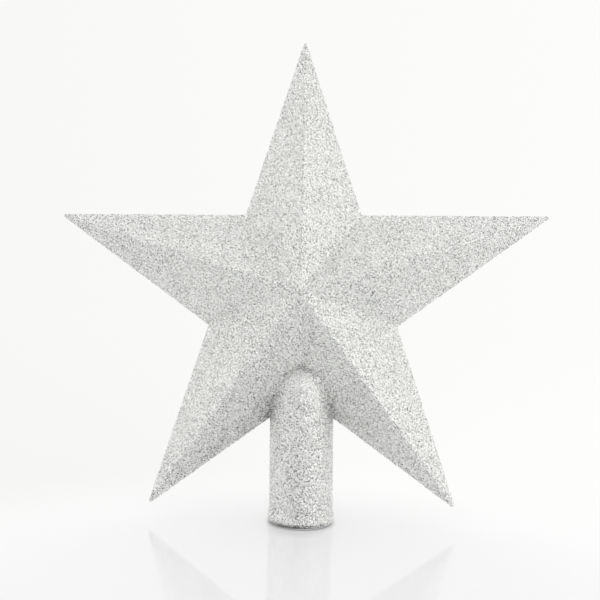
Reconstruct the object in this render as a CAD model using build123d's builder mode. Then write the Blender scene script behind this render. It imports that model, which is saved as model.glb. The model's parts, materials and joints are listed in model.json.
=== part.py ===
from build123d import *
from math import acos, atan2, cos, degrees, hypot, pi, sin
import os

# A five-pointed tree topper star: two hollow moulded star halves, closed round a socket
# sleeve that slips over the top shoot of the tree, all of it coated with silver glitter.
# Origin at the centre of the sleeve's mouth, +Z up, the star's front facing -Y. Millimetres.

# Star body, measured on the bare moulding
POINTS = 5
TIP_RADIUS = 105.4
CROTCH_RADIUS = 40.26
HALF_DEPTH = 32.7
TIP_ROUND = 0.4
WALL = 1.5

# Lap joint round the parting plane
TONGUE = 0.7
LAP_DEPTH = 1.2

# Locating pins on the front half and their bosses
PIN_CIRCLE = 52.0
PIN_DIAMETER = 2.6
PIN_LENGTH = 5.0
PIN_CHAMFER = 0.4
BOSS_DIAMETER = 6.0
SOCKET_SPARE_DEPTH = 0.6

# Socket sleeve
BORE_DIAMETER = 22.0
SLEEVE_WALL = 1.5
SLEEVE_END = 1.5
SLEEVE_LENGTH = 63.0
SLEEVE_INSERT = 11.8
END_ROUND = 5.0
LEAD_IN = 0.4
BEAD_HEIGHT = 4.8
BEAD_PROUD = 0.7

# Lugs on the sleeve and the cradles that hold them inside the halves
LUG_REACH = 4.0
LUG_HEIGHT = 5.0
LUG_THICKNESS = 3.0
LUG_SETBACK = 3.4
CRADLE_WALL = 1.4

# Glitter coat and the clearance of the fits
COAT = 0.35
BARE_RIM = 0.4
FIT = 0.1

# Every edge of the star's outline lies on a line APOTHEM from the centre, turned EDGE_TURN
# from its arm, and every facet rises from that line to the peak at the angle SLOPE.
HALF_STEP = pi / POINTS
EDGE_LENGTH = hypot(TIP_RADIUS - CROTCH_RADIUS * cos(HALF_STEP), CROTCH_RADIUS * sin(HALF_STEP))
APOTHEM = TIP_RADIUS * CROTCH_RADIUS * sin(HALF_STEP) / EDGE_LENGTH
EDGE_TURN = acos(APOTHEM / TIP_RADIUS)
SLOPE = atan2(HALF_DEPTH, APOTHEM)
FIRST_ARM = degrees(HALF_STEP) - 90

SLEEVE_RADIUS = BORE_DIAMETER / 2 + SLEEVE_WALL
CENTRE_HEIGHT = SLEEVE_LENGTH - SLEEVE_INSERT + CROTCH_RADIUS
LUG_CENTRE_Z = SLEEVE_LENGTH - LUG_SETBACK - LUG_HEIGHT / 2
CRADLE_REACH = SLEEVE_RADIUS + LUG_REACH + FIT
CRADLE_HEIGHT = LUG_HEIGHT + 2 * FIT
CRADLE_POCKET = (CRADLE_HEIGHT - CRADLE_WALL) / 2

# The parting plane through the star's centre, seen from each half's own side
FRONT = Plane(origin=(0, 0, CENTRE_HEIGHT), x_dir=(1, 0, 0), z_dir=(0, -1, 0))
REAR = Plane(origin=(0, 0, CENTRE_HEIGHT), x_dir=(-1, 0, 0), z_dir=(0, 1, 0))


def star_half(side, grown):
    """One half of the star as a full solid, its facets moved outwards by grown."""
    ratio = 1 + grown / (APOTHEM * sin(SLOPE))
    tip, crotch, peak = TIP_RADIUS * ratio, CROTCH_RADIUS * ratio, HALF_DEPTH * ratio
    tip_round = TIP_ROUND + grown / sin(SLOPE)
    crotch_x, crotch_y = crotch * sin(HALF_STEP), crotch * cos(HALF_STEP)
    with BuildPart() as arm:
        with BuildSketch() as kite:
            with BuildLine():
                Polyline((0, 0), (crotch_x, crotch_y), (0, tip), (-crotch_x, crotch_y), close=True)
            make_face()
            if tip_round > 0:
                fillet(kite.vertices().sort_by(Axis.Y)[-1], radius=tip_round)
        extrude(amount=peak)
        for turn in (EDGE_TURN, -EDGE_TURN):
            facet = (peak * sin(turn), peak * cos(turn), APOTHEM * ratio)
            split(bisect_by=Plane(origin=(0, 0, peak), z_dir=facet), keep=Keep.BOTTOM)
    with BuildPart(side) as half:
        with PolarLocations(0, POINTS, start_angle=FIRST_ARM - 90):
            add(arm.part)
    return half.part


def inner_supports(side):
    """Bosses for the pins and ribbed cradles for the sleeve's lugs, rooted in a half's wall."""
    with BuildPart() as supports:
        with BuildSketch(side):
            with PolarLocations(PIN_CIRCLE, POINTS, start_angle=FIRST_ARM):
                Circle(BOSS_DIAMETER / 2)
            with Locations((0, LUG_CENTRE_Z - CENTRE_HEIGHT)):
                Rectangle(2 * (CRADLE_REACH + CRADLE_WALL), CRADLE_HEIGHT + 2 * CRADLE_WALL)
                with GridLocations(0, CRADLE_POCKET + CRADLE_WALL, 1, 2):
                    Rectangle(2 * CRADLE_REACH, CRADLE_POCKET, mode=Mode.SUBTRACT)
        extrude(amount=HALF_DEPTH)
        add(star_half(side, -WALL / 2), mode=Mode.INTERSECT)
    return supports.part


def domed_rod(radius, height, end_round):
    """A round rod that stands on the mouth's plane, with its upper end rounded."""
    with BuildPart() as rod:
        with BuildSketch():
            Circle(radius)
        extrude(amount=height)
        fillet(rod.edges().group_by(Axis.Z)[-1], radius=end_round)
    return rod.part


def sleeve_room():
    """The space that the sleeve and its two lugs need inside the halves."""
    with BuildPart() as room:
        add(domed_rod(SLEEVE_RADIUS + FIT, SLEEVE_LENGTH + FIT, END_ROUND + FIT))
        with Locations((0, 0, LUG_CENTRE_Z)):
            Box(2 * CRADLE_REACH, LUG_THICKNESS + 2 * FIT, CRADLE_HEIGHT)
    return room.part


def sleeve_outline():
    """Half section of the sleeve's outside, from its axis, with the bead round its mouth."""
    with BuildSketch(Plane.XZ) as outline:
        with BuildLine():
            Line((0, SLEEVE_LENGTH), (0, 0))
            Line((0, 0), (SLEEVE_RADIUS, 0))
            ThreePointArc(
                (SLEEVE_RADIUS, 0),
                (SLEEVE_RADIUS + BEAD_PROUD, BEAD_HEIGHT / 2),
                (SLEEVE_RADIUS, BEAD_HEIGHT),
            )
            Line((SLEEVE_RADIUS, BEAD_HEIGHT), (SLEEVE_RADIUS, SLEEVE_LENGTH))
            Line((SLEEVE_RADIUS, SLEEVE_LENGTH), (0, SLEEVE_LENGTH))
        make_face()
        fillet(outline.vertices().group_by(Axis.Y)[-1].sort_by(Axis.X)[-1], radius=END_ROUND)
    return outline.sketch


# Front half: a hollow shell with a tongue round its rim and five locating pins
with BuildPart() as lap_tongue:
    add(star_half(REAR, TONGUE - WALL))
    add(star_half(REAR, -WALL), mode=Mode.SUBTRACT)
    split(bisect_by=REAR.offset(LAP_DEPTH), keep=Keep.BOTTOM)

with BuildPart() as front_shell:
    add(star_half(FRONT, 0))
    add(star_half(FRONT, -WALL), mode=Mode.SUBTRACT)
    add(lap_tongue.part)
    add(inner_supports(FRONT))
    with BuildSketch(FRONT):
        with PolarLocations(PIN_CIRCLE, POINTS, start_angle=FIRST_ARM):
            Circle(PIN_DIAMETER / 2)
    extrude(amount=-PIN_LENGTH)
    chamfer(front_shell.edges().filter_by(GeomType.CIRCLE).group_by(Axis.Y)[-1], PIN_CHAMFER)
    add(sleeve_room(), mode=Mode.SUBTRACT)

# Rear half: the same shell with a rebate for the tongue and sockets for the pins
with BuildPart() as lap_rebate:
    add(star_half(REAR, TONGUE + FIT - WALL))
    split(bisect_by=REAR.offset(LAP_DEPTH + FIT), keep=Keep.BOTTOM)

with BuildPart() as rear_shell:
    add(star_half(REAR, 0))
    add(star_half(REAR, -WALL), mode=Mode.SUBTRACT)
    add(lap_rebate.part, mode=Mode.SUBTRACT)
    add(inner_supports(REAR))
    with BuildSketch(REAR):
        with PolarLocations(PIN_CIRCLE, POINTS, start_angle=FIRST_ARM):
            Circle(PIN_DIAMETER / 2 + FIT)
    extrude(amount=PIN_LENGTH + SOCKET_SPARE_DEPTH, mode=Mode.SUBTRACT)
    add(sleeve_room(), mode=Mode.SUBTRACT)

# Socket sleeve: a cup, open downwards, with a beaded mouth, a domed end and a lug on each side
with BuildPart() as socket_sleeve:
    add(sleeve_outline())
    revolve(axis=Axis.Z)
    with Locations((0, 0, LUG_CENTRE_Z)):
        Box(2 * (SLEEVE_RADIUS + LUG_REACH), LUG_THICKNESS, LUG_HEIGHT)
    add(
        domed_rod(BORE_DIAMETER / 2, SLEEVE_LENGTH - SLEEVE_END, END_ROUND - SLEEVE_WALL),
        mode=Mode.SUBTRACT,
    )
    mouth = socket_sleeve.edges().filter_by(GeomType.CIRCLE).group_by(Axis.Z)[0]
    chamfer(mouth.sort_by(SortBy.RADIUS)[0], LEAD_IN)

# Glitter coat: a thin skin over each half and over what shows of the sleeve
with BuildPart() as front_glitter_coat:
    add(star_half(FRONT, COAT))
    add(star_half(FRONT, 0), mode=Mode.SUBTRACT)
    add(sleeve_room(), mode=Mode.SUBTRACT)

with BuildPart() as rear_glitter_coat:
    add(star_half(REAR, COAT))
    add(star_half(REAR, 0), mode=Mode.SUBTRACT)
    add(sleeve_room(), mode=Mode.SUBTRACT)

with BuildPart() as sleeve_glitter_coat:
    with BuildSketch(Plane.XZ):
        add(sleeve_outline())
        offset(amount=COAT)
        with Locations((0, BARE_RIM)):
            Rectangle(
                2 * SLEEVE_RADIUS,
                2 * SLEEVE_LENGTH,
                align=(Align.MIN, Align.MIN),
                mode=Mode.INTERSECT,
            )
    revolve(axis=Axis.Z)
    add(sleeve_outline())
    revolve(axis=Axis.Z, mode=Mode.SUBTRACT)
    add(star_half(FRONT, COAT), mode=Mode.SUBTRACT)
    add(star_half(REAR, COAT), mode=Mode.SUBTRACT)

pieces = {
    "front_shell": front_shell,
    "rear_shell": rear_shell,
    "socket_sleeve": socket_sleeve,
    "front_glitter_coat": front_glitter_coat,
    "rear_glitter_coat": rear_glitter_coat,
    "sleeve_glitter_coat": sleeve_glitter_coat,
}
os.makedirs("parts", exist_ok=True)
for name, piece in pieces.items():
    piece.part.label = name
    export_step(piece.part, f"parts/{name}.step")
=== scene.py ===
import json
import math

import bmesh
import bpy
from bpy.props import FloatProperty, FloatVectorProperty, IntProperty, PointerProperty
from bpy.types import Operator, Panel, PropertyGroup
from mathutils import Euler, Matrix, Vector
from mathutils.bvhtree import BVHTree
from mathutils.geometry import intersect_point_line

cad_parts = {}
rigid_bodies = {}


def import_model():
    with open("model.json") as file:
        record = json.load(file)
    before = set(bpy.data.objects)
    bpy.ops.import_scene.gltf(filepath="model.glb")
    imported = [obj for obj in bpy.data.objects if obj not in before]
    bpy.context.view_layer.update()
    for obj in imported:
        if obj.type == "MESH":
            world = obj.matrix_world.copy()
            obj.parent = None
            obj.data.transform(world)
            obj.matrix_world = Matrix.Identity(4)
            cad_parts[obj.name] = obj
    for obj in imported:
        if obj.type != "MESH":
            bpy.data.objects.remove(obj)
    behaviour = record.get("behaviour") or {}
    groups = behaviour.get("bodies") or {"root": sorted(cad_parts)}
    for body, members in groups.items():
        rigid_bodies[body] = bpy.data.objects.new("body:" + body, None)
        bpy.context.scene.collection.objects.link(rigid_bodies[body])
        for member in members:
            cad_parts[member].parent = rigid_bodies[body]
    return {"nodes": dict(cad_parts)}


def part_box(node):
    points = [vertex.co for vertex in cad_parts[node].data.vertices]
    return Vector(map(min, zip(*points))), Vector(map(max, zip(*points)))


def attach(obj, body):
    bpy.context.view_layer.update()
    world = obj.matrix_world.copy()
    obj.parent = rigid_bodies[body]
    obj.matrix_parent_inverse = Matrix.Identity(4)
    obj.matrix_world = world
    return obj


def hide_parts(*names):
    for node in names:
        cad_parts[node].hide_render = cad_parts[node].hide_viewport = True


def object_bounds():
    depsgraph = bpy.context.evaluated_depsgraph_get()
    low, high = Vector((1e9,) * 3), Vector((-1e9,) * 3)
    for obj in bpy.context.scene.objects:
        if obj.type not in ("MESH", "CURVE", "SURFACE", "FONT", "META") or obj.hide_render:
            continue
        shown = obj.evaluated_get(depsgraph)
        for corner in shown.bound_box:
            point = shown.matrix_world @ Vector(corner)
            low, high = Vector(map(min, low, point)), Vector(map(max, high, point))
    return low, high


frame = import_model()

bl_info = {
    "name": "Glitter Tree Topper Star",
    "version": (1, 0, 0),
    "blender": (4, 5, 0),
    "location": "3D View > Sidebar > Star",
    "description": "Coats a hollow tree topper star and its socket with silver glitter",
    "category": "Object",
}

# Sizes that the packed model gives, in metres
CAD_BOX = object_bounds()
COAT_LOW, COAT_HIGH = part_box("front_glitter_coat")
SHELL_LOW, SHELL_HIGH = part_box("front_shell")
SLEEVE_LOW, SLEEVE_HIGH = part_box("socket_sleeve")
SLEEVE_COAT_LOW, SLEEVE_COAT_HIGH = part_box("sleeve_glitter_coat")
COAT_MESH = frame["nodes"]["front_glitter_coat"].data
PEAK = min((vertex.co for vertex in COAT_MESH.vertices), key=lambda place: place.y)

# A regular star's notches lie this share of the way out to its points
POINTS = 5
HALF_STEP = math.pi / POINTS
NOTCH_SHARE = math.cos(2 * HALF_STEP) / math.cos(HALF_STEP)

MM = 0.001
SAME_PLACE = 0.001 * MM
UP = Vector((0, 0, 1))
ROOT_BODY = "root"
MOULDINGS = ("front_shell", "rear_shell", "socket_sleeve")

# Vertex attribute with the share of dull flakes that a place has more or fewer than the rest: painted
# shade in the crease at the joint and under the bead, painted light at the sleeve's closed end, and
# more dull flakes along the lower left arm's inner edge
SHADE_LIGHT_SHARE = "thin"

# Steps up the bead and round the closed end of a turned sleeve, and cells across a parting plane
BEAD_STEPS = 12
END_STEPS = 10
PARTING_CELLS = 48
SPARE_ROOM = 1.2

# How the painted shade grows towards the joint and the bead's underside, and the painted light towards
# the closed end
JOINT_STEEPNESS = 2.5
BEAD_STEEPNESS = 2
BEAD_SHADIEST = Vector((-0.3, -1, 0)).normalized()
END_START = 1.5

# Finish of the flakes: polish goes from the shiniest to the dullest, patches per metre
FLAKE_METAL = 0.9
FLAKE_POLISH = {"To Min": 0.2, "To Max": 0.42}
SHADE_STEP = 0.05
PATCHES = {"Scale": 90, "Detail": 2}
NOISE_MIDDLE = {"From Min": 0.3, "From Max": 0.7}

# Finish of the bare plastic: faint streaks from the mould's flow, and a fine satin texture
PLASTIC_FLOW = {"Scale": 160, "Detail": 3, "Distortion": 0.6}
PLASTIC_TONES = ((0.3, 0.9), (0.7, 1.06))
PLASTIC_SATIN = {"To Min": 0.38, "To Max": 0.56}
PLASTIC_TEXTURE = {"Scale": 2600, "Detail": 2}
PLASTIC_BUMP = {"Strength": 0.12, "Distance": 0.05 * MM}

# Floor: a wide disc, polished, with a painted glow that is less under the mouth as a painted contact
# shadow, and that fades into the backdrop away from the object
FLOOR_RADIUS = 4
FLOOR_CORNERS = 128
FLOOR_POLISH = 0.06
FLOOR_IOR = 1.5
# Ring round the mouth where the floor glows less: a painted contact shadow
CONTACT_SHADOW_RING = {"From Min": 12.5 * MM, "From Max": 14.5 * MM, "To Min": 0.45}
FADE_CENTRE = (0, -0.08, 0)
FADE = {"From Min": 0.09, "From Max": 0.2}
FLOOR_SIDES = {"From Min": 0.06, "From Max": 0.18}

# Directions between which the room's white changes, from the left and from behind the camera
LEFT_TO_RIGHT = {"From Min": -1, "From Max": 0.6}
FRONT_TO_BACK = {"From Min": -0.9, "From Max": -0.2}

# Place and size of each soft box
RIGHT_BOX = ((0.86, -0.30, 0.16), (0.9, 0.7))
LEFT_BOX = ((-0.74, -0.50, 0.25), (0.5, 0.8))
TOP_BOX = ((0, -0.10, 0.95), (0.8, 0.8))
FRONT_BOX = ((0.50, -0.75, 0.15), (0.5, 0.5))

SENSOR_WIDTH = 36
NEAREST_SEEN = 0.01


class StarSettings(PropertyGroup):
    """Sizes of the glitter coat on the star."""

    centre_height: FloatProperty(
        name="Centre height",
        description="Height of the star's centre above the mouth of the socket",
        default=PEAK.z,
        unit="LENGTH",
    )
    reach: FloatProperty(
        name="Reach",
        description="From the star's centre to the end of a coated point",
        default=COAT_HIGH.z - PEAK.z,
        unit="LENGTH",
    )
    half_depth: FloatProperty(
        name="Half depth",
        description="From the parting plane to the coated peak",
        default=-COAT_LOW.y,
        unit="LENGTH",
    )
    bare_reach: FloatProperty(
        name="Bare reach",
        description="From the star's centre to the end of a bare point",
        default=SHELL_HIGH.z - PEAK.z,
        unit="LENGTH",
    )
    bare_half_depth: FloatProperty(
        name="Bare half depth",
        description="From the parting plane to the bare peak",
        default=-SHELL_LOW.y,
        unit="LENGTH",
    )
    blunting: FloatProperty(
        name="Blunting",
        description="How much of a sharp point is taken off its end",
        default=2.0 * MM,
        unit="LENGTH",
    )


class SleeveSettings(PropertyGroup):
    """Sizes of the glitter coat on the socket sleeve."""

    bead_radius: FloatProperty(
        name="Bead radius",
        description="Bare radius of the bead round the mouth",
        default=SLEEVE_HIGH.y,
        unit="LENGTH",
    )
    bead_proud: FloatProperty(
        name="Bead height",
        description="How far the bead stands out from the sleeve",
        default=0.7 * MM,
        unit="LENGTH",
    )
    bead_width: FloatProperty(
        name="Bead width",
        description="Width of the bead along the sleeve",
        default=4.8 * MM,
        unit="LENGTH",
    )
    top: FloatProperty(
        name="Top",
        description="Height of the bare closed end",
        default=SLEEVE_HIGH.z,
        unit="LENGTH",
    )
    end_round: FloatProperty(
        name="End rounding",
        description="Radius round the bare closed end",
        default=5.0 * MM,
        unit="LENGTH",
    )
    coat: FloatProperty(
        name="Coat",
        description="Thickness of the glitter coat",
        default=SLEEVE_COAT_HIGH.y - SLEEVE_HIGH.y,
        unit="LENGTH",
    )
    bare_rim: FloatProperty(
        name="Bare rim",
        description="Height of the rim at the mouth that stays bare",
        default=SLEEVE_COAT_LOW.z,
        unit="LENGTH",
    )
    room: FloatProperty(
        name="Room",
        description="Clearance between the sleeve and the star's shells",
        default=0.1 * MM,
        unit="LENGTH",
    )
    sides: IntProperty(
        name="Sides",
        description="Corners round the turned shape",
        default=96,
        min=12,
    )


class GlitterSettings(PropertyGroup):
    """Grain and colours of the glitter."""

    grain: FloatProperty(
        name="Grain",
        description="Size of the facets that the coat is broken into",
        default=0.56 * MM,
        unit="LENGTH",
    )
    roughness: FloatProperty(
        name="Unevenness",
        description="How far a facet's corner may lie from the even surface",
        default=0.11 * MM,
        unit="LENGTH",
    )
    rounding: IntProperty(
        name="Rounding",
        description="Smoothing passes that round the ridges under the flakes",
        default=1,
        min=0,
    )
    seed: IntProperty(
        name="Seed",
        description="Draw of the facets",
        default=7,
        min=0,
    )
    flake: FloatProperty(
        name="Flake",
        description="Mean width of one glitter flake",
        default=0.235 * MM,
        unit="LENGTH",
    )
    flake_lean: FloatProperty(
        name="Flake lean",
        description="How far a flake leans from the coat's surface",
        default=0.8,
        subtype="FACTOR",
        min=0,
        max=1,
    )
    dull: FloatVectorProperty(
        name="Dull flake",
        description="Colour of the flakes that lie deepest in the lacquer",
        default=(0.055, 0.055, 0.054),
        size=3,
        subtype="COLOR",
        min=0,
        max=1,
    )
    silver: FloatVectorProperty(
        name="Silver flake",
        description="Colour of most flakes",
        default=(0.93, 0.93, 0.915),
        size=3,
        subtype="COLOR",
        min=0,
        max=1,
    )
    bright: FloatVectorProperty(
        name="Bright flake",
        description="Colour of the brightest flakes",
        default=(1.0, 1.0, 0.99),
        size=3,
        subtype="COLOR",
        min=0,
        max=1,
    )
    dull_share: FloatProperty(
        name="Dull share",
        description="Share of the flakes that look dull",
        default=0.212,
        subtype="FACTOR",
        min=0,
        max=1,
    )
    # Painted shade in the crease between sleeve and star: these settings add dull flakes there
    joint_shade_reach: FloatProperty(
        name="Joint reach",
        description="How far from the corner between sleeve and star the glitter lies thinner",
        default=1.3 * MM,
        unit="LENGTH",
    )
    # Painted shade on the sleeve at the crease's lower ends
    joint_tube_shade_reach: FloatProperty(
        name="Joint tube reach",
        description="How far it lies thinner on the sleeve, at the lower ends of that corner",
        default=5.5 * MM,
        unit="LENGTH",
    )
    # Height over which the painted shade in that crease grows, and over which the painted light at the
    # closed end comes in
    joint_height: FloatProperty(
        name="Joint height",
        description="From the sleeve's end down to where the glitter in that corner is thinnest",
        default=14 * MM,
        unit="LENGTH",
    )
    joint_shade_share: FloatProperty(
        name="Joint share",
        description="Share of the flakes that look dull besides, in that corner",
        default=0.11,
        subtype="FACTOR",
        min=0,
        max=1,
    )
    joint_tube_shade_share: FloatProperty(
        name="Joint tube share",
        description="Share of flakes dull besides, on the sleeve at that corner's lower ends",
        default=0.19,
        subtype="FACTOR",
        min=0,
        max=1,
    )
    # Painted shade on the underside of the bead
    bead_shade_share: FloatProperty(
        name="Bead share",
        description="Share of the flakes that look dull besides, on the underside of the bead",
        default=0.6,
        subtype="FACTOR",
        min=0,
        max=1,
    )
    # Painted light at the sleeve's closed end: fewer dull flakes there
    end_light_share: FloatProperty(
        name="End share",
        description="Share of flakes dull elsewhere and bright at the sleeve's closed end",
        default=0.11,
        subtype="FACTOR",
        min=0,
        max=1,
    )
    # More dull flakes along the lower left arm's inner edge, most at the notch by the sleeve
    notch_dull_reach: FloatProperty(
        name="Worn reach",
        description="How far from the lower left arm's inner edge the glitter has worn thinner",
        default=13 * MM,
        unit="LENGTH",
    )
    notch_dull_share: FloatProperty(
        name="Worn share",
        description="Share of the flakes that look dull besides, at the sleeve's end of that edge",
        default=0.21,
        subtype="FACTOR",
        min=0,
        max=1,
    )
    patch_share: FloatProperty(
        name="Patch share",
        description="By how much the share of dull flakes varies from patch to patch",
        default=0.03,
        subtype="FACTOR",
        min=0,
        max=1,
    )
    plastic: FloatVectorProperty(
        name="Plastic",
        description="Colour of the bare mouldings",
        default=(0.62, 0.63, 0.63),
        size=3,
        subtype="COLOR",
        min=0,
        max=1,
    )


class StageSettings(PropertyGroup):
    """Floor, light and camera."""

    backdrop: FloatVectorProperty(
        name="Backdrop",
        description="Colour of the white background",
        default=(0.983, 0.986, 0.973),
        size=3,
        subtype="COLOR",
        min=0,
        max=1,
    )
    floor: FloatVectorProperty(
        name="Floor",
        description="Colour of the floor",
        default=(0.447, 0.451, 0.449),
        size=3,
        subtype="COLOR",
        min=0,
        max=1,
    )
    floor_turn: FloatVectorProperty(
        name="Floor turn",
        description="How far the floor is out of square with the star, which leans on it a little",
        default=(0, math.radians(0.8), 0),
        size=3,
        subtype="EULER",
    )
    # Painted glow of the floor: it lifts the floor's shadow and lights the star from below
    floor_painted_glow: FloatProperty(
        name="Floor glow",
        description="Light that comes up through the floor's translucent sheet",
        default=0.325,
        min=0,
    )
    floor_sides: FloatProperty(
        name="Floor sides",
        description="Share of the floor's light at its sides, as the glitter mirrors it",
        default=0.87,
        min=0,
    )
    ambient: FloatProperty(
        name="Ambient",
        description="Even light from all round",
        default=1.26,
        min=0,
    )
    front_level: FloatProperty(
        name="Front level",
        description="Share of the room's white that lies behind the camera, as the glitter mirrors it",
        default=0.1,
        min=0,
    )
    left_level: FloatProperty(
        name="Left level",
        description="Share of the room's white on the left, as the glitter mirrors it",
        default=0.93,
        min=0,
    )
    right_lamp: FloatProperty(
        name="Right lamp",
        description="Soft box on the right",
        default=0.71,
        unit="POWER",
    )
    right_colour: FloatVectorProperty(
        name="Right colour",
        description="Colour of the soft box on the right, a little warmer than the others",
        default=(1, 0.955, 0.94),
        size=3,
        subtype="COLOR",
        min=0,
        max=1,
    )
    left_lamp: FloatProperty(
        name="Left lamp",
        description="Soft box on the left",
        default=0.98,
        unit="POWER",
    )
    top_lamp: FloatProperty(
        name="Top lamp",
        description="Soft box overhead",
        default=0.27,
        unit="POWER",
    )
    front_lamp: FloatProperty(
        name="Front lamp",
        description="Small soft box in front, on the right of the camera",
        default=1.43,
        unit="POWER",
    )
    camera_place: FloatVectorProperty(
        name="Camera place",
        description="Where the camera stands",
        default=(0.0072, -0.2771, 0.0787),
        size=3,
        subtype="TRANSLATION",
        unit="LENGTH",
    )
    camera_turn: FloatVectorProperty(
        name="Camera turn",
        description="How the camera is turned",
        default=(math.radians(92.218), math.radians(-0.594), math.radians(1.704)),
        size=3,
        subtype="EULER",
    )
    lens: FloatProperty(
        name="Lens",
        description="Focal length in millimetres",
        default=40.6,
        subtype="DISTANCE_CAMERA",
    )


def start_clean():
    """Leaves edit mode and deselects everything, so that an operator acts on its own piece only."""
    if bpy.context.object and bpy.context.object.mode != "OBJECT":
        bpy.ops.object.mode_set(mode="OBJECT")
    bpy.ops.object.select_all(action="DESELECT")


def make_active(piece):
    """Selects one piece and nothing else."""
    start_clean()
    piece.select_set(True)
    bpy.context.view_layer.objects.active = piece


def select_vertices(piece, wanted):
    """In edit mode, selects the vertices whose place is wanted and nothing else."""
    mesh = bmesh.from_edit_mesh(piece.data)
    bpy.ops.mesh.select_all(action="DESELECT")
    for vertex in mesh.verts:
        vertex.select = wanted(vertex.co)
    mesh.select_flush_mode()
    bmesh.update_edit_mesh(piece.data)


def apply_modifier(piece, kind, **settings):
    """Adds a modifier with its settings and applies it."""
    make_active(piece)
    modifier = piece.modifiers.new(kind.title(), kind)
    for name, value in settings.items():
        setattr(modifier, name, value)
    bpy.ops.object.modifier_apply(modifier=modifier.name)


def close_outwards(piece):
    """Merges vertices at the same place and turns all faces outwards."""
    make_active(piece)
    bpy.ops.object.mode_set(mode="EDIT")
    bpy.ops.mesh.select_all(action="SELECT")
    bpy.ops.mesh.remove_doubles(threshold=SAME_PLACE)
    bpy.ops.mesh.normals_make_consistent(inside=False)
    bpy.ops.object.mode_set(mode="OBJECT")


def add_star(name, reach, half_depth, centre_height):
    """A closed sharp star: a cone with every other corner drawn in, mirrored to the back."""
    start_clean()
    bpy.ops.mesh.primitive_cone_add(
        vertices=2 * POINTS,
        radius1=reach,
        radius2=0,
        depth=half_depth,
        end_fill_type="NOTHING",
        location=(0, -half_depth / 2, centre_height),
        rotation=(math.pi / 2, 0, 0),
    )
    star = bpy.context.object
    star.name = name
    bpy.ops.object.transform_apply(location=True, rotation=True, scale=True)
    centre = Vector((0, 0, centre_height))

    def is_notch(place):
        step = math.atan2(place.x, place.z - centre_height) / HALF_STEP
        return place.y > -half_depth / 2 and round(step) % 2 == 1

    bpy.ops.object.mode_set(mode="EDIT")
    select_vertices(star, is_notch)
    bpy.ops.transform.resize(value=[NOTCH_SHARE] * 3, center_override=centre)
    bpy.ops.object.mode_set(mode="OBJECT")
    apply_modifier(star, "MIRROR", use_axis=(False, True, False), merge_threshold=SAME_PLACE)
    close_outwards(star)
    return star


def blunt_tips(piece, star):
    """Takes the sharp ends off the points."""
    make_active(piece)
    bpy.ops.object.mode_set(mode="EDIT")
    centre = Vector((0, 0, star.centre_height))
    select_vertices(piece, lambda place: (place - centre).length > star.bare_reach)
    along_edge = star.blunting / math.cos(HALF_STEP / 2)
    bpy.ops.mesh.bevel(
        offset=along_edge,
        offset_type="ABSOLUTE",
        affect="VERTICES",
        clamp_overlap=False,
    )
    bpy.ops.object.mode_set(mode="OBJECT")
    close_outwards(piece)


def sleeve_profile(sleeve, grown, bottom):
    """Heights and radii up the sleeve's outside, with its bead and rounded end, grown all over."""
    radius = sleeve.bead_radius - sleeve.bead_proud
    half_width = sleeve.bead_width / 2
    bead_arc = (half_width ** 2 + sleeve.bead_proud ** 2) / (2 * sleeve.bead_proud)
    bead_axis = sleeve.bead_radius - bead_arc
    bead_end = half_width + math.sqrt((bead_arc + grown) ** 2 - (radius + grown - bead_axis) ** 2)
    profile = []
    for step in range(BEAD_STEPS + 1):
        height = bottom + (bead_end - bottom) * step / BEAD_STEPS
        bulge = math.sqrt((bead_arc + grown) ** 2 - (height - half_width) ** 2)
        profile.append((height, bead_axis + bulge))
    corner = sleeve.end_round + grown
    for step in range(END_STEPS + 1):
        angle = math.pi / 2 * step / END_STEPS
        height = sleeve.top + grown - corner + corner * math.sin(angle)
        profile.append((height, radius + grown - corner + corner * math.cos(angle)))
    return profile


def add_turned(name, profile, sides):
    """A closed round solid: a disc that is drawn up through the profile's heights and radii."""
    start_clean()
    height, radius = profile[0]
    bpy.ops.mesh.primitive_circle_add(
        vertices=sides,
        radius=radius,
        fill_type="NGON",
        location=(0, 0, height),
    )
    turned = bpy.context.object
    turned.name = name
    bpy.ops.object.transform_apply(location=True, rotation=True, scale=True)
    bpy.ops.object.mode_set(mode="EDIT")
    bpy.ops.mesh.select_all(action="SELECT")
    for next_height, next_radius in profile[1:]:
        rise = {"value": (0, 0, next_height - height)}
        bpy.ops.mesh.extrude_region_move(TRANSFORM_OT_translate=rise)
        spread = next_radius / radius
        bpy.ops.transform.resize(value=(spread, spread, 1), center_override=(0, 0, next_height))
        height, radius = next_height, next_radius
    close_outwards(turned)
    return turned


def break_into_facets(piece, glitter, seed):
    """Turns a smooth piece into a coat of small flakes, each leaning its own way."""
    apply_modifier(piece, "REMESH", mode="VOXEL", voxel_size=glitter.grain)
    make_active(piece)
    bpy.ops.object.mode_set(mode="EDIT")
    bpy.ops.mesh.select_all(action="SELECT")
    if glitter.rounding:
        bpy.ops.mesh.vertices_smooth(factor=0.5, repeat=glitter.rounding)
    bpy.ops.transform.vertex_random(offset=glitter.roughness, uniform=0.3, normal=0, seed=seed)
    bpy.ops.mesh.quads_convert_to_tris(quad_method="SHORTEST_DIAGONAL")
    bpy.ops.object.mode_set(mode="OBJECT")


def cut_away(piece, cutter):
    """Takes the cutter's solid out of a piece."""
    apply_modifier(piece, "BOOLEAN", object=cutter, operation="DIFFERENCE", solver="MANIFOLD")


def discard(*helpers):
    """Deletes helper objects with their meshes."""
    for helper in helpers:
        mesh = helper.data
        bpy.data.objects.remove(helper)
        bpy.data.meshes.remove(mesh)


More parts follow.
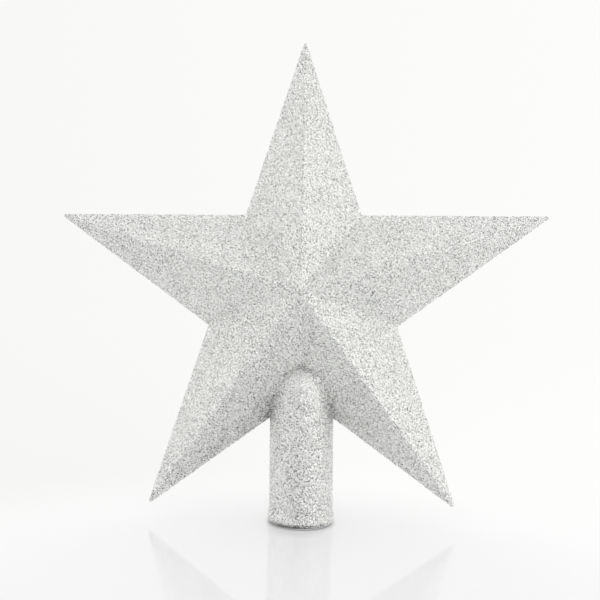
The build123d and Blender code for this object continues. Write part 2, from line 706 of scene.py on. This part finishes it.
def add_half_space(name, side):
    """A block over all before or behind the parting plane, gridded there: side is -1 or 1."""
    start_clean()
    low, high = CAD_BOX
    size = SPARE_ROOM * max(high - low)
    bpy.ops.mesh.primitive_grid_add(
        x_subdivisions=PARTING_CELLS,
        y_subdivisions=PARTING_CELLS,
        size=size,
        location=(0, 0, (low.z + high.z) / 2),
        rotation=(math.pi / 2, 0, 0),
    )
    block = bpy.context.object
    block.name = name
    bpy.ops.object.transform_apply(location=True, rotation=True, scale=True)
    bpy.ops.object.mode_set(mode="EDIT")
    bpy.ops.mesh.select_all(action="SELECT")
    bpy.ops.mesh.extrude_region_move(TRANSFORM_OT_translate={"value": (0, side * size, 0)})
    close_outwards(block)
    return block


def keep_main_skin(piece):
    """Deletes specks that a cut left loose: only what is joined to the outermost vertex stays."""
    make_active(piece)
    bpy.ops.object.mode_set(mode="EDIT")
    places = [vertex.co.copy() for vertex in piece.data.vertices]
    outermost = max(places, key=lambda place: abs(place.y))
    select_vertices(piece, lambda place: place == outermost)
    bpy.ops.mesh.select_linked()
    bpy.ops.mesh.select_all(action="INVERT")
    bpy.ops.mesh.delete(type="VERT")
    bpy.ops.object.mode_set(mode="OBJECT")


def copy_of(piece, name):
    """A copy of a piece with its own mesh."""
    make_active(piece)
    bpy.ops.object.duplicate()
    copy = bpy.context.object
    copy.name = name
    return copy


def add_node(tree, kind, inputs=None, **settings):
    """A shader node with its sockets' values and its own settings."""
    node = tree.nodes.new("ShaderNode" + kind)
    for name, value in settings.items():
        setattr(node, name, value)
    for name, value in (inputs or {}).items():
        node.inputs[name].default_value = value
    return node


def glitter_material(glitter):
    """Silver flakes in lacquer: each cell is one flake with its own shade, polish and lean."""
    name = "silver glitter"
    if name in bpy.data.materials:
        return bpy.data.materials[name]
    material = bpy.data.materials.new(name)
    material.use_nodes = True
    tree = material.node_tree
    link = tree.links.new
    surface = tree.nodes["Principled BSDF"]
    surface.inputs["Metallic"].default_value = FLAKE_METAL

    place = add_node(tree, "TexCoord")
    flakes = add_node(tree, "TexVoronoi", {"Scale": 1 / glitter.flake})
    link(place.outputs["Object"], flakes.inputs["Vector"])
    draws = add_node(tree, "SeparateColor")
    link(flakes.outputs["Color"], draws.inputs["Color"])

    patches = add_node(tree, "TexNoise", PATCHES)
    link(place.outputs["Object"], patches.inputs["Vector"])
    spread = {"To Min": -glitter.patch_share / 2, "To Max": glitter.patch_share / 2}
    patch = add_node(tree, "MapRange", {**NOISE_MIDDLE, **spread})
    link(patches.outputs["Fac"], patch.inputs["Value"])
    # The attribute adds dull flakes for painted shade in the crease and under the bead, takes them away
    # for painted light at the closed end, and adds them along the lower left edge
    thin = add_node(tree, "Attribute", attribute_name=SHADE_LIGHT_SHARE)
    dull_and_shade = add_node(tree, "Math", operation="ADD")
    link(patch.outputs["Result"], dull_and_shade.inputs[0])
    link(thin.outputs["Fac"], dull_and_shade.inputs[1])
    rank = add_node(tree, "Math", operation="SUBTRACT")
    link(draws.outputs["Red"], rank.inputs[0])
    link(dull_and_shade.outputs["Value"], rank.inputs[1])
    shade = add_node(tree, "ValToRGB")
    ramp = shade.color_ramp
    ramp.elements[0].color = (*glitter.dull, 1)
    ramp.elements[0].position = glitter.dull_share - SHADE_STEP
    ramp.elements[1].color = (*glitter.bright, 1)
    ramp.elements.new(glitter.dull_share + SHADE_STEP).color = (*glitter.silver, 1)
    link(rank.outputs["Value"], shade.inputs["Fac"])
    link(shade.outputs["Color"], surface.inputs["Base Color"])

    polish = add_node(tree, "MapRange", FLAKE_POLISH)
    link(draws.outputs["Green"], polish.inputs["Value"])
    link(polish.outputs["Result"], surface.inputs["Roughness"])

    turns = add_node(tree, "TexWhiteNoise")
    link(flakes.outputs["Position"], turns.inputs["Vector"])
    middle = add_node(tree, "VectorMath", operation="SUBTRACT")
    middle.inputs[1].default_value = (0.5, 0.5, 0.5)
    link(turns.outputs["Color"], middle.inputs[0])
    lean = add_node(tree, "VectorMath", {"Scale": glitter.flake_lean}, operation="SCALE")
    link(middle.outputs["Vector"], lean.inputs[0])
    facing = add_node(tree, "NewGeometry")
    leaning = add_node(tree, "VectorMath", operation="ADD")
    link(facing.outputs["Normal"], leaning.inputs[0])
    link(lean.outputs["Vector"], leaning.inputs[1])
    unit = add_node(tree, "VectorMath", operation="NORMALIZE")
    link(leaning.outputs["Vector"], unit.inputs[0])
    link(unit.outputs["Vector"], surface.inputs["Normal"])
    return material


def plastic_material(glitter):
    """Satin moulded plastic with a faint flow in it."""
    material = bpy.data.materials.new("moulded plastic")
    material.use_nodes = True
    tree = material.node_tree
    link = tree.links.new
    surface = tree.nodes["Principled BSDF"]
    place = add_node(tree, "TexCoord")

    flow = add_node(tree, "TexNoise", PLASTIC_FLOW)
    link(place.outputs["Object"], flow.inputs["Vector"])
    tone = add_node(tree, "ValToRGB")
    for stop, (position, brightness) in zip(tone.color_ramp.elements, PLASTIC_TONES):
        stop.position = position
        stop.color = (*[brightness * part for part in glitter.plastic], 1)
    link(flow.outputs["Fac"], tone.inputs["Fac"])
    link(tone.outputs["Color"], surface.inputs["Base Color"])

    satin = add_node(tree, "MapRange", PLASTIC_SATIN)
    link(flow.outputs["Fac"], satin.inputs["Value"])
    link(satin.outputs["Result"], surface.inputs["Roughness"])

    texture = add_node(tree, "TexNoise", PLASTIC_TEXTURE)
    link(place.outputs["Object"], texture.inputs["Vector"])
    bump = add_node(tree, "Bump", PLASTIC_BUMP)
    link(texture.outputs["Fac"], bump.inputs["Height"])
    link(bump.outputs["Normal"], surface.inputs["Normal"])
    return material


def finish_coat(piece, node, glitter):
    """Gives a coat its flakes' finish and lets it stand for the plain coat of the frame."""
    make_active(piece)
    bpy.ops.object.shade_flat()
    piece.data.materials.clear()
    piece.data.materials.append(glitter_material(glitter))
    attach(piece, ROOT_BODY)
    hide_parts(node)


class STAR_OT_coat_halves(Operator):
    """Coat the star's two halves with glitter"""

    bl_idname = "star.coat_halves"
    bl_label = "Coat the Halves"

    def execute(self, context):
        star = context.scene.star_sizes
        sleeve = context.scene.star_sleeve
        glitter = context.scene.star_glitter
        sharp_reach = star.reach + star.blunting
        coat = add_star("glitter_front", sharp_reach, star.half_depth, star.centre_height)
        blunt_tips(coat, star)
        break_into_facets(coat, glitter, glitter.seed)
        bare = add_star("bare_star", star.bare_reach, star.bare_half_depth, star.centre_height)
        cut_away(coat, bare)
        hole = add_turned("sleeve_hole", sleeve_profile(sleeve, sleeve.room, 0), sleeve.sides)
        cut_away(coat, hole)
        rear_coat = copy_of(coat, "glitter_rear")
        halves = ((coat, "front_glitter_coat", 1), (rear_coat, "rear_glitter_coat", -1))
        for piece, node, other_side in halves:
            block = add_half_space("half_space", other_side)
            cut_away(piece, block)
            discard(block)
            keep_main_skin(piece)
            finish_coat(piece, node, glitter)
        discard(bare, hole)
        return {"FINISHED"}


class STAR_OT_coat_sleeve(Operator):
    """Coat the socket sleeve with glitter"""

    bl_idname = "star.coat_sleeve"
    bl_label = "Coat the Sleeve"

    def execute(self, context):
        star = context.scene.star_sizes
        sleeve = context.scene.star_sleeve
        glitter = context.scene.star_glitter
        coated = sleeve_profile(sleeve, sleeve.coat, sleeve.bare_rim)
        coat = add_turned("glitter_sleeve", coated, sleeve.sides)
        break_into_facets(coat, glitter, glitter.seed + 1)
        bare = add_turned("bare_sleeve", sleeve_profile(sleeve, 0, 0), sleeve.sides)
        cut_away(coat, bare)
        bare_star = add_star("bare_star", star.bare_reach, star.bare_half_depth, star.centre_height)
        cut_away(coat, bare_star)
        discard(bare, bare_star)
        keep_main_skin(coat)
        finish_coat(coat, "sleeve_glitter_coat", glitter)
        return {"FINISHED"}


def joint_painted_shade(piece, neighbours, low_reach, low_share, sleeve, glitter):
    """Painted shade at each vertex of a piece near its neighbours: more dull flakes in the crease.

    Reach and share change from the joint's own at the arch's top to low_reach and low_share lower down.
    """
    trees = [
        BVHTree.FromPolygons(
            [vertex.co for vertex in neighbour.data.vertices],
            [polygon.vertices for polygon in neighbour.data.polygons],
        )
        for neighbour in neighbours
    ]
    shares = []
    for vertex in piece.data.vertices:
        lowness = min(max((sleeve.top - vertex.co.z) / glitter.joint_height, 0), 1)
        reach = lowness * low_reach + (1 - lowness) * glitter.joint_shade_reach
        finds = [tree.find_nearest(vertex.co, reach)[3] for tree in trees]
        distances = [distance for distance in finds if distance is not None]
        nearness = min(JOINT_STEEPNESS * (1 - min(distances) / reach), 1) if distances else 0
        share = lowness * low_share + (1 - lowness) * glitter.joint_shade_share
        shares.append(share * nearness)
    return shares


def bead_painted_shade(piece, sleeve, glitter):
    """Painted shade at each vertex under the sleeve's bead, most at the front."""
    middle = sleeve.bead_width / 2
    shares = []
    for vertex in piece.data.vertices:
        below = min(max(BEAD_STEEPNESS * (1 - vertex.co.z / middle), 0), 1)
        around = max(vertex.co.normalized().dot(BEAD_SHADIEST), 0)
        shares.append(glitter.bead_shade_share * below * around ** 2)
    return shares


def end_painted_light(piece, sleeve, glitter):
    """A negative share at each vertex near the sleeve's closed end: painted light, with fewer dull
    flakes there.
    """
    start = sleeve.top - END_START * glitter.joint_height
    shares = []
    for vertex in piece.data.vertices:
        upwards = min(max((vertex.co.z - start) / glitter.joint_height, 0), 1)
        shares.append(-glitter.end_light_share * upwards)
    return shares


def notch_dulling(piece, star, glitter):
    """The share of dull flakes added at each vertex of a half along the lower left arm's inner edge,
    most at the notch by the sleeve.
    """
    notch = Vector((0, 0, star.centre_height - NOTCH_SHARE * star.reach))
    lower_left = 6 * HALF_STEP
    tip = Vector((math.sin(lower_left), 0, math.cos(lower_left))) * star.reach
    tip.z += star.centre_height
    shares = []
    for vertex in piece.data.vertices:
        on_edge, along = intersect_point_line(vertex.co, notch, tip)
        across = (vertex.co - on_edge).length / glitter.notch_dull_reach
        worn = (1 - along) * (1 - across) if 0 < along < 1 and across < 1 else 0
        shares.append(glitter.notch_dull_share * worn)
    return shares


def mark_dull_shares(piece, *all_shares):
    """Marks each vertex with the sum of its shares."""
    mark = piece.data.attributes.new(SHADE_LIGHT_SHARE, "FLOAT", "POINT")
    mark.data.foreach_set("value", [sum(shares) for shares in zip(*all_shares)])


class STAR_OT_paint_shade_and_light(Operator):
    """Paint shade where the sleeve enters the star and under the bead, light at the sleeve's closed
    end, and add dull flakes along an edge
    """

    bl_idname = "star.thin_glitter"
    bl_label = "Paint Shade and Light"

    def execute(self, context):
        star = context.scene.star_sizes
        sleeve = context.scene.star_sleeve
        glitter = context.scene.star_glitter
        front = bpy.data.objects["glitter_front"]
        rear = bpy.data.objects["glitter_rear"]
        tube = bpy.data.objects["glitter_sleeve"]
        on_star = (glitter.joint_shade_reach, glitter.joint_shade_share, sleeve, glitter)
        on_tube = (glitter.joint_tube_shade_reach, glitter.joint_tube_shade_share, sleeve, glitter)
        mark_dull_shares(front, joint_painted_shade(front, [tube], *on_star), notch_dulling(front, star, glitter))
        mark_dull_shares(rear, joint_painted_shade(rear, [tube], *on_star))
        mark_dull_shares(
            tube,
            joint_painted_shade(tube, [front, rear], *on_tube),
            bead_painted_shade(tube, sleeve, glitter),
            end_painted_light(tube, sleeve, glitter),
        )
        return {"FINISHED"}


class STAR_OT_finish_mouldings(Operator):
    """Give the bare mouldings their plastic"""

    bl_idname = "star.finish_mouldings"
    bl_label = "Finish the Mouldings"

    def execute(self, context):
        plastic = plastic_material(context.scene.star_glitter)
        for name in MOULDINGS:
            for material_slot in frame["nodes"][name].material_slots:
                material_slot.material = plastic
        return {"FINISHED"}


def keep_lamps_off(surface):
    """A list for the lamps to go by: the polished surface neither takes nor mirrors their light."""
    unlit = bpy.data.collections.new("kept off by lamps")
    unlit.objects.link(surface)
    unlit.collection_objects[0].light_linking.link_state = "EXCLUDE"
    return unlit


def add_soft_box(name, place_and_size, aim, power, unlit, colour=(1, 1, 1)):
    """A rectangular lamp that is turned to the aim and doesn't light what is unlit."""
    place, size = place_and_size
    start_clean()
    bpy.ops.object.light_add(type="AREA", location=place)
    lamp = bpy.context.object
    lamp.name = name
    lamp.rotation_euler = (Vector(aim) - Vector(place)).to_track_quat("-Z", "Y").to_euler()
    lamp.data.shape = "RECTANGLE"
    lamp.data.size, lamp.data.size_y = size
    lamp.data.energy = power
    lamp.data.color = colour
    lamp.light_linking.receiver_collection = unlit


def side_level(tree, direction, stage):
    """The room's white by direction: a little less of it on the left."""
    way = add_node(tree, "SeparateXYZ")
    tree.links.new(direction, way.inputs["Vector"])
    levels = {"To Min": stage.left_level, "To Max": 1}
    level = add_node(tree, "MapRange", {**LEFT_TO_RIGHT, **levels})
    tree.links.new(way.outputs["X"], level.inputs["Value"])
    return level.outputs["Result"]


def floor_material(stage):
    """Glossy white table top with a painted glow, dimmed under the mouth as a painted contact shadow,
    that fades into the backdrop away from the object.
    """
    material = bpy.data.materials.new("white table")
    material.use_nodes = True
    tree = material.node_tree
    link = tree.links.new
    surface = tree.nodes["Principled BSDF"]
    surface.inputs["Base Color"].default_value = (*stage.floor, 1)
    surface.inputs["Roughness"].default_value = FLOOR_POLISH
    surface.inputs["IOR"].default_value = FLOOR_IOR
    # The floor glows, a painted light
    surface.inputs["Emission Strength"].default_value = stage.floor_painted_glow
    place = add_node(tree, "TexCoord")
    distance = add_node(tree, "VectorMath", operation="LENGTH")
    link(place.outputs["Object"], distance.inputs[0])
    # Less glow under the mouth: a painted contact shadow
    contact_shadow = add_node(tree, "MapRange", CONTACT_SHADOW_RING, interpolation_type="SMOOTHSTEP")
    link(distance.outputs["Value"], contact_shadow.inputs["Value"])
    link(contact_shadow.outputs["Result"], surface.inputs["Emission Color"])

    far = add_node(tree, "VectorMath", operation="DISTANCE")
    far.inputs[1].default_value = FADE_CENTRE
    link(place.outputs["Object"], far.inputs[0])
    fade = add_node(tree, "MapRange", FADE, interpolation_type="SMOOTHSTEP")
    link(far.outputs["Value"], fade.inputs["Value"])
    white = add_node(tree, "Emission", {"Color": (*stage.backdrop, 1)})
    outwards = add_node(tree, "VectorMath", operation="NORMALIZE")
    link(place.outputs["Object"], outwards.inputs[0])
    link(side_level(tree, outwards.outputs["Vector"], stage), white.inputs["Strength"])
    faded = add_node(tree, "MixShader")
    link(fade.outputs["Result"], faded.inputs["Fac"])
    link(surface.outputs["BSDF"], faded.inputs[1])
    link(white.outputs["Emission"], faded.inputs[2])

    way = add_node(tree, "SeparateXYZ")
    link(place.outputs["Object"], way.inputs["Vector"])
    sideways = add_node(tree, "Math", operation="ABSOLUTE")
    link(way.outputs["X"], sideways.inputs[0])
    sides = add_node(tree, "MapRange", {**FLOOR_SIDES, "To Max": 1 - stage.floor_sides})
    link(sideways.outputs["Value"], sides.inputs["Value"])
    path = add_node(tree, "LightPath")
    mirrored = add_node(tree, "Math", operation="MULTIPLY")
    link(sides.outputs["Result"], mirrored.inputs[0])
    link(path.outputs["Is Glossy Ray"], mirrored.inputs[1])
    dark = add_node(tree, "Emission", {"Strength": 0})
    dimmed = add_node(tree, "MixShader")
    link(mirrored.outputs["Value"], dimmed.inputs["Fac"])
    link(faded.outputs["Shader"], dimmed.inputs[1])
    link(dark.outputs["Emission"], dimmed.inputs[2])
    link(dimmed.outputs["Shader"], tree.nodes["Material Output"].inputs["Surface"])
    return material


def light_the_room(scene, stage):
    """White surroundings where they are seen, directly or mirrored, and plain even light elsewhere."""
    world = bpy.data.worlds.new("white room")
    scene.world = world
    world.use_nodes = True
    tree = world.node_tree
    link = tree.links.new
    light = tree.nodes["Background"]
    light.inputs["Color"].default_value = (1, 1, 1, 1)
    light.inputs["Strength"].default_value = stage.ambient
    backdrop = add_node(tree, "Background", {"Color": (*stage.backdrop, 1)})
    path = add_node(tree, "LightPath")
    place = add_node(tree, "TexCoord")
    way = add_node(tree, "SeparateXYZ")
    link(place.outputs["Generated"], way.inputs["Vector"])
    levels = {"To Min": stage.front_level, "To Max": 1}
    dimming = add_node(tree, "MapRange", {**FRONT_TO_BACK, **levels})
    link(way.outputs["Y"], dimming.inputs["Value"])
    frontal = add_node(tree, "Math", operation="MAXIMUM")
    link(dimming.outputs["Result"], frontal.inputs[0])
    link(path.outputs["Is Camera Ray"], frontal.inputs[1])
    level = add_node(tree, "Math", operation="MULTIPLY")
    link(frontal.outputs["Value"], level.inputs[0])
    link(side_level(tree, place.outputs["Generated"], stage), level.inputs[1])
    link(level.outputs["Value"], backdrop.inputs["Strength"])
    seen = add_node(tree, "Math", operation="ADD", use_clamp=True)
    link(path.outputs["Is Camera Ray"], seen.inputs[0])
    link(path.outputs["Is Glossy Ray"], seen.inputs[1])
    seen_through = add_node(tree, "Math", operation="ADD", use_clamp=True)
    link(seen.outputs["Value"], seen_through.inputs[0])
    link(path.outputs["Is Transmission Ray"], seen_through.inputs[1])
    mix = add_node(tree, "MixShader")
    link(seen_through.outputs["Value"], mix.inputs["Fac"])
    link(light.outputs["Background"], mix.inputs[1])
    link(backdrop.outputs["Background"], mix.inputs[2])
    link(mix.outputs["Shader"], tree.nodes["World Output"].inputs["Surface"])


class STAR_OT_set_stage(Operator):
    """Lay the floor, set the lamps and place the camera"""

    bl_idname = "star.set_stage"
    bl_label = "Set the Stage"

    def execute(self, context):
        scene = context.scene
        stage = scene.star_stage
        start_clean()
        mouth_radius = scene.star_sleeve.bead_radius - scene.star_sleeve.bead_proud
        upright = Euler(stage.floor_turn).to_matrix() @ UP
        drop = mouth_radius * math.tan(upright.angle(UP))
        bpy.ops.mesh.primitive_circle_add(
            vertices=FLOOR_CORNERS,
            radius=FLOOR_RADIUS,
            fill_type="NGON",
            location=(0, 0, -drop),
            rotation=stage.floor_turn,
        )
        floor = bpy.context.object
        floor.name = "floor"
        floor.data.materials.append(floor_material(stage))

        aim = (0, 0, scene.star_sizes.centre_height)
        unlit = keep_lamps_off(floor)
        warm = stage.right_colour
        add_soft_box("right_soft_box", RIGHT_BOX, aim, stage.right_lamp, unlit, warm)
        add_soft_box("left_soft_box", LEFT_BOX, aim, stage.left_lamp, unlit)
        add_soft_box("top_soft_box", TOP_BOX, aim, stage.top_lamp, unlit)
        add_soft_box("front_soft_box", FRONT_BOX, aim, stage.front_lamp, unlit)
        light_the_room(scene, stage)

        start_clean()
        bpy.ops.object.camera_add(location=stage.camera_place, rotation=stage.camera_turn)
        camera = bpy.context.object
        camera.name = "camera"
        camera.data.lens = stage.lens
        camera.data.sensor_width = SENSOR_WIDTH
        camera.data.clip_start = NEAREST_SEEN
        scene.camera = camera
        scene.view_settings.view_transform = "Standard"
        return {"FINISHED"}


OPERATORS = (
    STAR_OT_coat_halves,
    STAR_OT_coat_sleeve,
    STAR_OT_paint_shade_and_light,
    STAR_OT_finish_mouldings,
    STAR_OT_set_stage,
)
SETTINGS = {
    "star_sizes": StarSettings,
    "star_sleeve": SleeveSettings,
    "star_glitter": GlitterSettings,
    "star_stage": StageSettings,
}


class VIEW3D_PT_star(Panel):
    """Steps and settings of the star"""

    bl_label = "Glitter Star"
    bl_space_type = "VIEW_3D"
    bl_region_type = "UI"
    bl_category = "Star"

    def draw(self, context):
        for operator in OPERATORS:
            self.layout.operator(operator.bl_idname)
        for name, group in SETTINGS.items():
            box = self.layout.box()
            box.label(text=group.__doc__)
            for setting in group.__annotations__:
                box.prop(getattr(context.scene, name), setting)


CLASSES = (*SETTINGS.values(), *OPERATORS, VIEW3D_PT_star)


def register():
    """Registers the classes and hangs the settings on the scene."""
    for one in CLASSES:
        bpy.utils.register_class(one)
    for name, group in SETTINGS.items():
        setattr(bpy.types.Scene, name, PointerProperty(type=group))


def unregister():
    """Takes back what register did."""
    for name in SETTINGS:
        delattr(bpy.types.Scene, name)
    for one in reversed(CLASSES):
        bpy.utils.unregister_class(one)


def main():
    """Makes the star and its stage."""
    register()
    bpy.ops.star.coat_halves()
    bpy.ops.star.coat_sleeve()
    bpy.ops.star.thin_glitter()
    bpy.ops.star.finish_mouldings()
    bpy.ops.star.set_stage()


if __name__ == "__main__":
    main()
